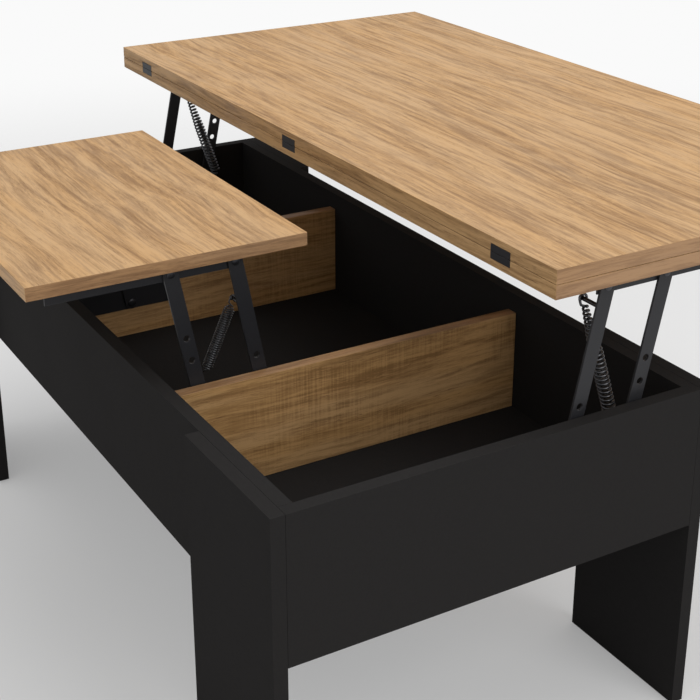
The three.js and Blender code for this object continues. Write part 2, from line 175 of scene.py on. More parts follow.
def a_colour(label, about, red, green, blue):
    return FloatVectorProperty(
        name=label, description=about, subtype="COLOR", size=4,
        default=(red, green, blue, 1.0), min=0.0, max=1.0)


def a_length(label, about, default, least, most):
    return FloatProperty(
        name=label, description=about, default=default, min=least, max=most, unit="LENGTH", precision=5)


def some_lengths(label, about, *defaults, subtype="NONE"):
    return FloatVectorProperty(
        name=label, description=about, size=len(defaults), default=defaults,
        subtype=subtype, unit="LENGTH", precision=5)


def a_share(label, about, default, least=0.0, most=1.0):
    return FloatProperty(name=label, description=about, default=default, min=least, max=most)


def a_power(label, about, default):
    return FloatProperty(name=label, description=about, default=default, min=0.0, unit="POWER")


def an_angle(label, about, degrees):
    return FloatProperty(name=label, description=about, default=math.radians(degrees), subtype="ANGLE")


class BoardSettings(bpy.types.PropertyGroup):
    """The boards' eased edges."""

    oak_edge_radius: a_length(
        "Oak Edge Radius", "Rounding of an oak board's banded edge", 0.0006, 0.0001, 0.002)
    black_edge_radius: a_length(
        "Black Edge Radius", "Rounding of a black board's banded edge", 0.00012, 0.00005, 0.002)
    edge_steps: IntProperty(
        name="Edge Steps", description="Facets across a rounded edge", default=2, min=1, max=6)


class OakSettings(bpy.types.PropertyGroup):
    """The oak decor of the lids and dividers."""

    light_wood: a_colour("Light Wood", "Early wood between the streaks", 0.5, 0.302, 0.135)
    dark_wood: a_colour("Dark Wood", "Late wood of the streaks", 0.26, 0.142, 0.056)
    pore_colour: a_colour("Pores", "Short dark pores", 0.13, 0.066, 0.026)
    # The band colours are darker than the face colours as painted shade on the end bands and the
    # divider edges.
    band_light_wood_painted_shade: a_colour("Edge Light Wood", "Light tone of the edge bands", 0.35, 0.205, 0.104)
    band_dark_wood_painted_shade: a_colour("Edge Dark Wood", "Dark tone of the edge bands", 0.21, 0.115, 0.056)
    gloss_roughness: a_share("Roughness", "Mean roughness of the printed surface", 0.5)


class BlackSettings(bpy.types.PropertyGroup):
    """The black boards, steel and glides."""

    board_colour: a_colour("Board", "Black melamine", 0.02, 0.0189, 0.0186)
    steel_colour: a_colour("Painted Steel", "Arms, rails and plates", 0.015, 0.015, 0.017)
    spring_colour: a_colour("Spring Wire", "Dark oiled spring wire", 0.085, 0.085, 0.09)
    rivet_colour: a_colour("Rivets", "Blackened rivets and screws", 0.05, 0.05, 0.055)
    glide_colour: a_colour("Glides", "Plastic glides under the planks", 0.02, 0.02, 0.02)


class ArmSettings(bpy.types.PropertyGroup):
    """Lift arms, rails and plates. Pairs are for the big and the small lift."""

    arm_width: a_length("Arm Width", "Across an arm", 0.018, 0.01, 0.03)
    plate_sheet: a_length("Plate Sheet", "Sheet thickness of a base plate", 0.0025, 0.001, 0.005)
    steel_edge: a_length("Steel Edge", "Chamfer of the stamped steel", 0.0003, 0.00005, 0.001)
    pivot_hole: a_length("Pivot Hole", "Radius of a pivot hole", 0.0033, 0.001, 0.006)
    arm_hole: a_length("Arm Hole", "Radius of the open holes in the arms", 0.004, 0.001, 0.008)
    big_outer_holes: some_lengths(
        "Big Outer Holes", "Open holes of a big outer arm, from its base pivot", 0.196, 0.169)
    small_outer_holes: some_lengths(
        "Small Outer Holes", "Open holes of a small outer arm, from its base pivot", 0.141, 0.1125)
    inner_holes: some_lengths(
        "Inner Holes", "Open hole of a big and of a small inner arm, from its base pivot", 0.1585,
        0.1005)
    plate_corner: a_length("Plate Corner", "Corner radius of a base plate", 0.006, 0.001, 0.02)
    rail_sheet: a_length("Rail Sheet", "Sheet thickness of a rail", 0.002, 0.001, 0.004)
    rail_bend: a_length("Rail Bend", "Inside radius of a rail's bend", 0.001, 0.0002, 0.003)


class FastenerSettings(bpy.types.PropertyGroup):
    """Rivets and screws."""

    rivet_head: some_lengths("Rivet Head", "Radius and height of a domed rivet head", 0.006, 0.002)
    rivet_shank: a_length("Rivet Shank", "Radius of a rivet's shank", 0.003, 0.001, 0.006)
    rivet_back: some_lengths(
        "Rivet Back", "Radius and thickness of the flat head behind an arm", 0.0046, 0.0008)
    screw_head: some_lengths("Screw Head", "Radius and height of a screw head", 0.0036, 0.0018)
    screw_inset: a_length("Screw Inset", "Screws from a base plate's edges", 0.012, 0.005, 0.03)
    turn_seed: IntProperty(
        name="Turn Seed", description="Seed of the screws' turned crosses", default=7, min=0)


class SpringSettings(bpy.types.PropertyGroup):
    """Tension springs. Pairs are for the big and the small lift."""

    wire_radius: some_lengths("Wire Radius", "Of the big and the small spring", 0.0015, 0.0009)
    coil_radius: some_lengths("Coil Radius", "Middle of the wire from the spring's axis", 0.0067, 0.006)
    turns: IntVectorProperty(
        name="Turns", description="Turns of the coil", size=2, default=(26, 29))
    low_hook: some_lengths("Low Hook", "From the foot stud to the coil", 0.058, 0.074)
    high_hook: some_lengths("High Hook", "From the coil to the head stud", 0.01, 0.009)
    taper: FloatVectorProperty(
        name="Taper", description="Share of the coil that narrows towards the high hook",
        size=2, default=(0.42, 0.08), min=0.01, max=0.9)
    tip_share: a_share("Tip Share", "Radius of the last turn as a share of the coil's", 0.38, 0.2, 1.0)
    big_foot: some_lengths(
        "Big Foot", "Stud on a big base plate, past and above the outer pivot", 0.0442, 0.059)
    small_foot: some_lengths(
        "Small Foot", "Stud on a small base plate, past and above the outer pivot", 0.0188, 0.013)
    head_place: some_lengths("Head Place", "Stud on an inner arm, from its base pivot", 0.268, 0.163)
    stud_radius: a_length("Stud Radius", "Shank of a spring stud", 0.0025, 0.001, 0.005)
    stud_collar: some_lengths(
        "Stud Collar", "Radius and thickness of the collar at a stud's end", 0.0036, 0.0015)
    hook_turn: an_angle("Hook Turn", "How far a hook goes round its stud", 240.0)
    hook_play: a_length("Hook Play", "Between a stud and the hook round it", 0.0006, 0.0001, 0.002)


class StageSettings(bpy.types.PropertyGroup):
    """Floor, lights and camera."""

    floor_colour: a_colour("Floor", "Pale floor", 0.72, 0.72, 0.72)
    floor_lift: a_share(
        "Floor Lift", "Softens the floor's shadows where the camera sees them", 0.75, 0.0, 1.5)
    floor_lift_share: a_share("Floor Lift Share", "Share of the softening in the floor's look", 0.35)
    floor_fade: some_lengths("Floor Fade", "Radii between which the floor fades away", 1.1, 2.9)
    backdrop: a_share("Backdrop", "Brightness of the white backdrop", 0.955, 0.0, 2.0)
    ambient: FloatProperty(
        name="Ambient", description="Brightness of the light from all round", default=0.68, min=0.0)
    key_power: a_power("Key Power", "Power of the large light overhead", 46.0)
    key_place: some_lengths("Key Place", "Middle of the large light", -0.2, 0.5, 2.9, subtype="XYZ")
    key_size: FloatProperty(
        name="Key Size", description="Side of the large light", default=3.0, min=0.1, unit="LENGTH")
    fill_power: a_power("Fill Power", "Power of the light before the front end", 32.0)
    fill_place: some_lengths(
        "Fill Place", "Middle of the light before the front end", 2.9, 0.6, 2.0, subtype="XYZ")
    fill_size: FloatProperty(
        name="Fill Size", description="Side of the fill light", default=1.8, min=0.1, unit="LENGTH")
    camera_place: some_lengths(
        "Camera Place", "Where the camera stands", 1.5882, -0.8969, 1.1262, subtype="XYZ")
    camera_heading: an_angle("Camera Heading", "Turned from +Y towards -X", 59.65)
    camera_pitch: an_angle("Camera Pitch", "Tilted below the horizon", 21.52)
    camera_lens: FloatProperty(
        name="Camera Lens", description="Focal length in millimetres", default=74.44, min=10.0)
    camera_shift: FloatProperty(
        name="Camera Shift", description="Upward shift of the lens", default=-0.12)


class TableSettings(bpy.types.PropertyGroup):
    """All settings of the table."""

    boards: PointerProperty(type=BoardSettings)
    oak: PointerProperty(type=OakSettings)
    black: PointerProperty(type=BlackSettings)
    arms: PointerProperty(type=ArmSettings)
    fasteners: PointerProperty(type=FastenerSettings)
    springs: PointerProperty(type=SpringSettings)
    stage: PointerProperty(type=StageSettings)


def settings():
    return bpy.context.scene.lift_table


# ---- Node trees -----------------------------------------------------------------------------------


def put(tree, kind, sockets=None, **choices):
    """Adds a node. A socket's value may be a number, a colour or another node's output."""
    node = tree.nodes.new(kind)
    for name, value in choices.items():
        setattr(node, name, value)
    for key, value in (sockets or {}).items():
        if isinstance(value, bpy.types.NodeSocket):
            tree.links.new(value, node.inputs[key])
        else:
            node.inputs[key].default_value = value
    return node


def math_of(tree, operation, a, b=0.0):
    return put(tree, "ShaderNodeMath", {0: a, 1: b}, operation=operation).outputs[0]


def sum_of(tree, a, b):
    return math_of(tree, "ADD", a, b)


def product_of(tree, a, b):
    return math_of(tree, "MULTIPLY", a, b)


def vector_of(tree, operation, a, b):
    return put(tree, "ShaderNodeVectorMath", {0: a, 1: b}, operation=operation).outputs[0]


def spread(tree, value, low, high, to_low=0.0, to_high=1.0):
    """The value between low and high, eased and carried to another range."""
    node = put(tree, "ShaderNodeMapRange", {
        "Value": value, "From Min": low, "From Max": high, "To Min": to_low, "To Max": to_high,
    }, interpolation_type="SMOOTHSTEP")
    return node.outputs["Result"]


def blend(tree, factor, a, b, how="MIX"):
    node = put(tree, "ShaderNodeMix", {0: factor, 6: a, 7: b}, data_type="RGBA", blend_type=how)
    return node.outputs[2]


def stretched_noise(tree, vector, stretch, detail=2.0, roughness=0.5):
    """Noise whose grains measure one over the stretch along each axis."""
    return put(tree, "ShaderNodeTexNoise", {
        "Vector": vector_of(tree, "MULTIPLY", vector, stretch), "Scale": 1.0,
        "Detail": detail, "Roughness": roughness,
    }).outputs["Fac"]


def node_group(name, given, made):
    """A shader group with named sockets, and its input and output nodes."""
    tree = bpy.data.node_groups.new(name, "ShaderNodeTree")
    for label, kind, default in given:
        socket = tree.interface.new_socket(label, in_out="INPUT", socket_type=kind)
        if default is not None:
            socket.default_value = default
    for label, kind in made:
        tree.interface.new_socket(label, in_out="OUTPUT", socket_type=kind)
    return tree, tree.nodes.new("NodeGroupInput"), tree.nodes.new("NodeGroupOutput")


def once(name, make):
    """A node group that is built the first time it is asked for."""
    return bpy.data.node_groups.get(name) or make(name)


def grouped(tree, name, make, sockets):
    """The outputs of a shared shader group with those inputs."""
    return put(tree, "ShaderNodeGroup", sockets, node_tree=once(name, make)).outputs


def make_oak_grain(name):
    """Oak along the group's X: broad tones, wandering streaks, cathedral lines, fibres and pores."""
    tree, given, made = node_group(name, [
        ("Vector", "NodeSocketVector", None),
        ("Light Wood", "NodeSocketColor", (0.6, 0.4, 0.2, 1.0)),
        ("Dark Wood", "NodeSocketColor", (0.3, 0.2, 0.1, 1.0)),
        ("Pore Colour", "NodeSocketColor", (0.2, 0.1, 0.05, 1.0)),
        ("Roughness Level", "NodeSocketFloat", 0.5),
        ("Saw Marks", "NodeSocketFloat", 0.0),
    ], [("Colour", "NodeSocketColor"), ("Height", "NodeSocketFloat"), ("Roughness", "NodeSocketFloat")])
    given, place = given.outputs, given.outputs["Vector"]
    bend = put(tree, "ShaderNodeTexNoise", {"Vector": place, "Scale": 2.4, "Detail": 2.0})
    bend = vector_of(tree, "SUBTRACT", bend.outputs["Color"], (0.5, 0.5, 0.5))
    warped = vector_of(tree, "ADD", place, vector_of(tree, "MULTIPLY", bend, (0.0, 0.035, 0.035)))

    def noise(layer, vector, detail, roughness=0.5):
        return stretched_noise(tree, vector, OAK_GRAINS[layer], detail, roughness)

    tones = spread(tree, noise("tones", warped, 2.0), 0.3, 0.7)
    streaks = spread(tree, noise("streaks", warped, 4.0, 0.65), 0.38, 0.64)
    fibres = noise("fibres", warped, 5.0, 0.8)
    contour = product_of(tree, noise("contours", warped, 1.0, 0.4), CONTOUR_LINES)
    contour = spread(tree, math_of(tree, "SINE", contour), 0.0, 1.0)
    patch = spread(tree, noise("contour patches", place, 1.0), 0.48, 0.62)
    cathedral = product_of(tree, contour, patch)

    darkness = sum_of(tree, product_of(tree, tones, 0.22), product_of(tree, streaks, 0.42))
    darkness = sum_of(tree, darkness, product_of(tree, cathedral, 0.22))
    darkness = sum_of(tree, darkness, spread(tree, fibres, 0.36, 0.64, -0.4, 0.5))
    saw_patch = spread(tree, noise("saw patches", place, 2.0), 0.42, 0.66, 0.1, 1.0)
    saw = spread(tree, noise("saw lines", place, 2.0), 0.36, 0.64, -0.5, 0.5)
    saw = product_of(tree, product_of(tree, saw, saw_patch), given["Saw Marks"])
    darkness = sum_of(tree, darkness, saw)
    wood = blend(tree, darkness, given["Light Wood"], given["Dark Wood"])

    pores = spread(tree, noise("pores", warped, 2.0), 0.6, 0.7)
    pores = product_of(tree, pores, spread(tree, streaks, 0.0, 1.0, 0.2, 0.75))
    wood = blend(tree, pores, wood, given["Pore Colour"])
    warmth = spread(tree, noise("warm patches", warped, 3.0), 0.38, 0.62)
    tree.links.new(blend(tree, warmth, wood, WARM_TINT, "MULTIPLY"), made.inputs["Colour"])

    height = sum_of(tree, product_of(tree, fibres, 0.5), product_of(tree, pores, -0.8))
    tree.links.new(height, made.inputs["Height"])
    rough = sum_of(tree, given["Roughness Level"], spread(tree, streaks, 0.0, 1.0, -0.04, 0.08))
    tree.links.new(sum_of(tree, rough, product_of(tree, pores, 0.15)), made.inputs["Roughness"])
    return tree


def make_handling_marks(name):
    """Faint smudges and rubbed patches, as a roughness that wanders about the level given."""
    tree, given, made = node_group(name, [
        ("Vector", "NodeSocketVector", None),
        ("Roughness Level", "NodeSocketFloat", 0.5),
        ("Strength", "NodeSocketFloat", 0.1),
    ], [("Roughness", "NodeSocketFloat")])
    place = given.outputs["Vector"]
    smudges = spread(tree, stretched_noise(tree, place, (9.0, 7.0, 8.0), 5.0, 0.65), 0.35, 0.7)
    rubs = spread(tree, stretched_noise(tree, place, (60.0, 55.0, 65.0), 3.0, 0.6), 0.5, 0.75)
    mask = sum_of(tree, product_of(tree, smudges, 0.7), product_of(tree, rubs, 0.3))
    swing = product_of(tree, sum_of(tree, mask, -0.4), given.outputs["Strength"])
    tree.links.new(sum_of(tree, given.outputs["Roughness Level"], swing), made.inputs["Roughness"])
    return tree


def make_edge_wear_and_highlight(name):
    """A broken line of wear and painted highlight that follows the faces marked as eased edges."""
    tree, given, made = node_group(name, [
        ("Vector", "NodeSocketVector", None),
        ("Edge Mark", "NodeSocketFloat", 0.0),
        ("Amount", "NodeSocketFloat", 0.5),
    ], [("Mask", "NodeSocketFloat")])
    chips = stretched_noise(tree, given.outputs["Vector"], (45.0, 45.0, 45.0), 4.0, 0.7)
    chips = spread(tree, chips, 0.35, 0.65)
    worn_and_highlit = product_of(tree, given.outputs["Edge Mark"], chips)
    tree.links.new(product_of(tree, worn_and_highlit, given.outputs["Amount"]), made.inputs["Mask"])
    return tree


def new_material(name):
    material = bpy.data.materials.new(name)
    material.use_nodes = True
    tree = material.node_tree
    tree.nodes.clear()
    shader = tree.nodes.new("ShaderNodeBsdfPrincipled")
    output = tree.nodes.new("ShaderNodeOutputMaterial")
    tree.links.new(shader.outputs["BSDF"], output.inputs["Surface"])
    place = tree.nodes.new("ShaderNodeTexCoord").outputs["Object"]
    return material, tree, shader, place


def bump(tree, height, strength, distance):
    node = put(tree, "ShaderNodeBump", {"Height": height, "Strength": strength, "Distance": distance})
    return node.outputs["Normal"]


def handled(tree, place, level, swing):
    """A roughness about the level, with handling marks."""
    return grouped(tree, "Handling marks", make_handling_marks, {
        "Vector": place, "Roughness Level": level, "Strength": swing,
    })["Roughness"]


def worn_and_highlit(tree, place, share):
    """How much wear and painted highlight each spot of the eased edges gets."""
    mark = put(tree, "ShaderNodeAttribute", attribute_name="eased_edge").outputs["Fac"]
    return grouped(tree, "Edge wear", make_edge_wear_and_highlight, {
        "Vector": place, "Edge Mark": mark, "Amount": share,
    })["Mask"]


def make_oak(name, turn, painted_shade_band, saw_marks):
    """Printed oak whose grain runs along X, or along Y when turned."""
    oak = settings().oak
    material, tree, shader, place = new_material(name)
    aligned = put(tree, "ShaderNodeMapping", {"Vector": place, "Rotation": (0.0, 0.0, turn)}).outputs[0]
    # The darker band colours stand in as painted shade on the end bands and the divider edges.
    light = oak.band_light_wood_painted_shade if painted_shade_band else oak.light_wood
    dark = oak.band_dark_wood_painted_shade if painted_shade_band else oak.dark_wood
    grain = grouped(tree, "Oak grain", make_oak_grain, {
        "Vector": aligned, "Light Wood": light, "Dark Wood": dark, "Pore Colour": oak.pore_colour,
        "Roughness Level": oak.gloss_roughness, "Saw Marks": saw_marks,
    })
    # Eased edges blend towards the light wood as wear and a painted highlight.
    base = blend(tree, worn_and_highlit(tree, place, 0.35), grain["Colour"], light)
    rough = sum_of(tree, grain["Roughness"], handled(tree, place, 0.0, 0.12))
    tree.links.new(base, shader.inputs["Base Color"])
    tree.links.new(rough, shader.inputs["Roughness"])
    tree.links.new(bump(tree, grain["Height"], 0.25, OAK_RELIEF), shader.inputs["Normal"])
    shader.inputs["Specular IOR Level"].default_value = OAK_SPECULAR
    return material


def make_dark(name, look):
    """A dark surface with fine relief, handling marks, and wear with a painted highlight on its eased
    edges.
    """
    material, tree, shader, place = new_material(name)
    colour = tuple(getattr(settings().black, look.colour))
    lighter = (*(min(1.0, channel * look.contrast) for channel in colour[:3]), 1.0)
    relief = stretched_noise(tree, place, look.grain, 3.0, 0.6)
    base = blend(tree, spread(tree, relief, 0.35, 0.65), colour, lighter)
    # Eased edges blend towards the lighter tone as wear and a painted highlight.
    base = blend(tree, worn_and_highlit(tree, place, look.wear_and_highlight_share), base, look.wear_and_highlight_tone)
    tree.links.new(base, shader.inputs["Base Color"])
    tree.links.new(handled(tree, place, look.roughness, look.swing), shader.inputs["Roughness"])
    tree.links.new(bump(tree, relief, 0.3, look.relief), shader.inputs["Normal"])
    shader.inputs["Metallic"].default_value = look.metallic
    shader.inputs["Specular IOR Level"].default_value = look.specular
    return material


def finish(name):
    """The material of that name, made when first asked for."""
    found = bpy.data.materials.get(name)
    if found:
        return found
    if name in OAK_FINISHES:
        return make_oak(name, *OAK_FINISHES[name])
    return make_dark(name, DARK_FINISHES[name])


# ---- Meshes ---------------------------------------------------------------------------------------


def link(name, data):
    made = bpy.data.objects.new(name, data)
    bpy.context.scene.collection.objects.link(made)
    return made


def add_piece(name, mesh, nodes, rides_with=None):
    """Links a finished mesh that stands for those nodes and rides on their body or another node's."""
    piece = link(name, mesh)
    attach(piece, BODY_OF[rides_with or nodes[0]])
    if nodes:
        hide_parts(*nodes)
    return piece


def centre_of(node):
    low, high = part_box(node)
    return (low + high) / 2


def finish_mesh(bm, name, materials):
    mesh = bpy.data.meshes.new(name)
    bm.to_mesh(mesh)
    bm.free()
    for material in materials:
        mesh.materials.append(material)
    mesh.shade_smooth()
    return mesh


def weight_normals(piece):
    modifier = piece.modifiers.new("Even faces", "WEIGHTED_NORMAL")
    modifier.weight = 100
    modifier.keep_sharp = True


def eased_board(name, node, slot, materials, pick):
    """The node's shape with its corners merged, its flats joined and its edges eased.

    pick gives the material's place in the list for a face normal.
    """
    boards = settings().boards
    radius = boards.oak_edge_radius if slot == "oak_board" else boards.black_edge_radius
    bm = bmesh.new()
    bm.from_mesh(frame["nodes"][node].data)
    bm.faces.layers.float.new("eased_edge")
    bmesh.ops.remove_doubles(bm, verts=bm.verts, dist=BOARD_MERGE_GAP)
    bmesh.ops.dissolve_limit(bm, angle_limit=FLAT_ANGLE, verts=bm.verts, edges=bm.edges)
    for face in bm.faces:
        face.material_index = pick(face.normal)
    eased = bmesh.ops.bevel(
        bm, geom=bm.edges[:], offset=radius, offset_type="OFFSET",
        segments=boards.edge_steps, profile=0.5, affect="EDGES", clamp_overlap=True)
    layer = bm.faces.layers.float["eased_edge"]
    for face in eased["faces"]:
        face[layer] = 1.0
        face.material_index = pick(face.normal)
    weight_normals(add_piece(name, finish_mesh(bm, name, materials), [node]))


def round_ring(y, z, radius, sides=HOLE_SIDES):
    steps = [2 * math.pi * i / sides for i in range(sides)]
    return [(y + radius * math.cos(a), z + radius * math.sin(a)) for a in steps]


def bar_ring(length, radius):
    """A bar's outline from its pivot at the origin to one at the length, with round ends."""
    half = HOLE_SIDES // 2
    far = [math.pi * (i / half - 0.5) for i in range(half + 1)]
    ring = [(length + radius * math.cos(a), radius * math.sin(a)) for a in far]
    return ring + [(-radius * math.cos(a), -radius * math.sin(a)) for a in far]


def rounded_ring(low, high, radius):
    """A rectangle's outline with round corners, between its low and its high corner."""
    ring = []
    left, right = low[0] + radius, high[0] - radius
    lower, upper = low[1] + radius, high[1] - radius
    for quarter, (x, y) in enumerate(((right, lower), (right, upper), (left, upper), (left, lower))):
        for i in range(CORNER_SIDES + 1):
            angle = (quarter - 1 + i / CORNER_SIDES) * math.pi / 2
            ring.append((x + radius * math.cos(angle), y + radius * math.sin(angle)))
    return ring


def stamped_sheet(name, rings, thickness, placing, material):
    """Sheet steel cut to the first ring, with the others as holes, chamfered and put in place.

    The rings already leave room for the chamfer. The sheet's middle plane is the placing's XY plane.
    """
    edge = settings().arms.steel_edge
    curve = bpy.data.curves.new(name, "CURVE")
    curve.dimensions = "2D"
    curve.fill_mode = "BOTH"
    curve.extrude = thickness / 2 - edge
    curve.bevel_depth = edge
    curve.bevel_resolution = 1
    for ring in rings:
        spline = curve.splines.new("POLY")
        spline.points.add(len(ring) - 1)
        for point, (x, y) in zip(spline.points, ring, strict=True):
            point.co = (x, y, 0.0, 1.0)
        spline.use_cyclic_u = True
    source = link(name + "_outline", curve)
    shaped = source.evaluated_get(bpy.context.evaluated_depsgraph_get())
    mesh = bpy.data.meshes.new_from_object(shaped)
    bpy.data.objects.remove(source)
    bpy.data.curves.remove(curve)
    mesh.name = name
    mesh.transform(placing)
    bm = bmesh.new()
    bm.from_mesh(mesh)
    bmesh.ops.remove_doubles(bm, verts=bm.verts, dist=MERGE_GAP)
    bmesh.ops.recalc_face_normals(bm, faces=bm.faces)
    layer = bm.faces.layers.float.new("eased_edge")
    sheet_normal = placing.to_3x3() @ Z_AXIS
    for face in bm.faces:
        slant = abs(face.normal.dot(sheet_normal))
        face[layer] = 1.0 if 0.2 < slant < 0.9 else 0.0
    bm.to_mesh(mesh)
    bm.free()
    mesh.materials.clear()
    mesh.materials.append(material)
    mesh.shade_smooth()
    mesh.set_sharp_from_angle(angle=SHEET_SHARP)
    return mesh


def axes(origin, along, across, normal):
    """The placing whose X, Y and Z run along those three directions from the origin."""
    turn = Matrix((along, across, normal)).transposed()
    return Matrix.Translation(origin) @ turn.to_4x4()


def lathed(name, profile):
    """A solid of revolution about X. The profile is (radius, x) from axis to axis."""
    bm = bmesh.new()
    verts = [bm.verts.new((x, radius, 0.0)) for radius, x in profile]
    edges = [bm.edges.new(pair) for pair in zip(verts, verts[1:])]
    bmesh.ops.spin(
        bm, geom=verts + edges, axis=X_AXIS, cent=(0.0, 0.0, 0.0),
        steps=LATHE_SIDES, angle=2 * math.pi, use_merge=True)
    bmesh.ops.remove_doubles(bm, verts=bm.verts, dist=MERGE_GAP)
    bmesh.ops.recalc_face_normals(bm, faces=bm.faces)
    mesh = bpy.data.meshes.new(name)
    bm.to_mesh(mesh)
    bm.free()
    mesh.shade_smooth()
    mesh.set_sharp_from_angle(angle=TURNED_SHARP)
    return mesh


def dome_profile(radius, start, height, steps=7):
    """From the crown on the axis down to the rim, which stands on start."""
    rim = height * 0.25
    points = []
    for i in range(steps + 1):
        angle = math.pi / 2 * i / steps
        points.append((radius * math.sin(angle), start + rim + (height - rim) * math.cos(angle)))
    return points + [(radius, start)]


# ---- Geometry node trees --------------------------------------------------------------------------


def geometry_tree(name, given):
    tree = bpy.data.node_groups.new(name, "GeometryNodeTree")
    tree.interface.new_socket("Geometry", in_out="INPUT", socket_type="NodeSocketGeometry")
    for label, kind in given:
        tree.interface.new_socket(label, in_out="INPUT", socket_type=kind)
    tree.interface.new_socket("Geometry", in_out="OUTPUT", socket_type="NodeSocketGeometry")
    return tree, tree.nodes.new("NodeGroupInput").outputs, tree.nodes.new("NodeGroupOutput").inputs


def end_tree(tree, geometry, material, output):
    """Ends a tree in plain geometry with its finish."""
    plain = put(tree, "GeometryNodeRealizeInstances", {"Geometry": geometry})
    dressed = put(tree, "GeometryNodeSetMaterial", {"Geometry": plain.outputs[0], "Material": material})
    tree.links.new(dressed.outputs[0], output["Geometry"])


def make_fastener_tree(name):
    """A fastener at each point, turned about Z by the point's facing and about itself at random."""
    tree, given, output = geometry_tree(name, [
        ("Fastener", "NodeSocketObject"), ("Cross Turn", "NodeSocketFloat"),
        ("Seed", "NodeSocketInt"), ("Material", "NodeSocketMaterial"),
    ])
    source = put(tree, "GeometryNodeObjectInfo", {"Object": given["Fastener"]})
    facing = put(tree, "GeometryNodeInputNamedAttribute", {"Name": "facing"}, data_type="FLOAT_VECTOR")
    turn = put(tree, "FunctionNodeRandomValue", {"Seed": given["Seed"]}, data_type="FLOAT")
    tree.links.new(product_of(tree, given["Cross Turn"], -1.0), turn.inputs[2])
    tree.links.new(given["Cross Turn"], turn.inputs[3])
    spin = put(tree, "ShaderNodeCombineXYZ", {"X": turn.outputs[1]})
    spin = put(tree, "FunctionNodeEulerToRotation", {"Euler": spin.outputs[0]})
    faced = put(tree, "FunctionNodeEulerToRotation", {"Euler": facing.outputs[0]})
    whole = put(tree, "FunctionNodeRotateRotation", {
        "Rotation": faced.outputs[0], "Rotate By": spin.outputs[0],
    }, rotation_space="LOCAL")
    copies = put(tree, "GeometryNodeInstanceOnPoints", {
        "Points": given["Geometry"], "Instance": source.outputs["Geometry"],
        "Rotation": whole.outputs[0],
    })
    end_tree(tree, copies.outputs[0], given["Material"], output)
    return tree


def make_spring_tree(name):
    """A tension spring up the Z axis, with an open hook round a stud along X at each end."""
    tree, given, output = geometry_tree(name, [
        *((label, "NodeSocketFloat") for label in (
            "Turns", "Coil Radius", "Wire Radius", "Coil Length", "Low Hook", "High Hook",
            "Hook Radius", "Hook Turn", "Taper Turns", "Tip Radius")),
        ("Material", "NodeSocketMaterial"),
    ])

    def point(x, y, z):
        return put(tree, "ShaderNodeCombineXYZ", {"X": x, "Y": y, "Z": z}).outputs[0]

    def moved(shape, z, turn=(0.0, 0.0, 0.0)):
        return put(tree, "GeometryNodeTransform", {
            "Geometry": shape.outputs[0], "Translation": point(0.0, 0.0, z), "Rotation": turn,
        }).outputs[0]

    radius, tip, low, hook = (
        given[label] for label in ("Coil Radius", "Tip Radius", "Low Hook", "Hook Radius"))
    side = product_of(tree, hook, -1.0)
    pitch = math_of(tree, "DIVIDE", given["Coil Length"], given["Turns"])
    even_turns = math_of(tree, "SUBTRACT", given["Turns"], given["Taper Turns"])
    even_length = product_of(tree, pitch, even_turns)
    taper_length = product_of(tree, pitch, given["Taper Turns"])
    lines = []
    for turns, end_radius, coil_length, start_z in (
            (even_turns, radius, even_length, low),
            (given["Taper Turns"], tip, taper_length, sum_of(tree, low, even_length))):
        spiral = put(tree, "GeometryNodeCurveSpiral", {
            "Resolution": SPIRAL_STEPS, "Rotations": turns, "Start Radius": radius,
            "End Radius": end_radius, "Height": coil_length,
        })
        lines.append(moved(spiral, start_z))
    top = sum_of(tree, low, given["Coil Length"])
    span = sum_of(tree, top, given["High Hook"])
    for start_z, end_radius, stud_z, run_on in ((low, radius, 0.0, -1.0), (top, tip, span, 1.0)):
        neck_z = sum_of(tree, start_z, product_of(tree, end_radius, 1.8 * run_on))
        lead_z = sum_of(tree, start_z, product_of(tree, end_radius, 0.9 * run_on))
        handle_y = product_of(tree, end_radius, 0.8 * run_on)
        neck = put(tree, "GeometryNodeCurvePrimitiveBezierSegment", {
            "Resolution": NECK_STEPS, "Start": point(end_radius, 0.0, start_z),
            "Start Handle": point(end_radius, handle_y, start_z),
            "End Handle": point(0.0, side, lead_z), "End": point(0.0, side, neck_z),
        }, mode="POSITION")
        straight = put(tree, "GeometryNodeCurvePrimitiveLine", {
            "Start": point(0.0, side, neck_z), "End": point(0.0, side, stud_z),
        })
        arc = put(tree, "GeometryNodeCurveArc", {
            "Resolution": HOOK_STEPS, "Radius": hook, "Start Angle": math.pi,
            "Sweep Angle": product_of(tree, given["Hook Turn"], -run_on),
        })
        upright = (math.pi / 2, 0.0, math.pi / 2)
        lines += [neck.outputs[0], straight.outputs[0], moved(arc, stud_z, upright)]
    joined = tree.nodes.new("GeometryNodeJoinGeometry")
    for line in reversed(lines):
        tree.links.new(line, joined.inputs[0])
    section = put(tree, "GeometryNodeCurvePrimitiveCircle", {
        "Resolution": WIRE_SIDES, "Radius": given["Wire Radius"],
    })
    wire = put(tree, "GeometryNodeCurveToMesh", {
        "Curve": joined.outputs[0], "Profile Curve": section.outputs[0], "Fill Caps": True,
    })
    end_tree(tree, wire.outputs[0], given["Material"], output)
    return tree


def grown_mesh(name, base, tree, values):
    """The base mesh run through a geometry tree with those inputs, as a plain mesh."""
    grower = link(name + "_grower", base)
    modifier = grower.modifiers.new("Grow", "NODES")
    modifier.node_group = tree
    for item in tree.interface.items_tree:
        if item.in_out == "INPUT" and item.name in values:
            modifier[item.identifier] = values[item.name]
    shaped = grower.evaluated_get(bpy.context.evaluated_depsgraph_get())
    mesh = bpy.data.meshes.new_from_object(shaped)
    mesh.name = name
    grower.modifiers.remove(modifier)
    bpy.data.objects.remove(grower)
    return mesh


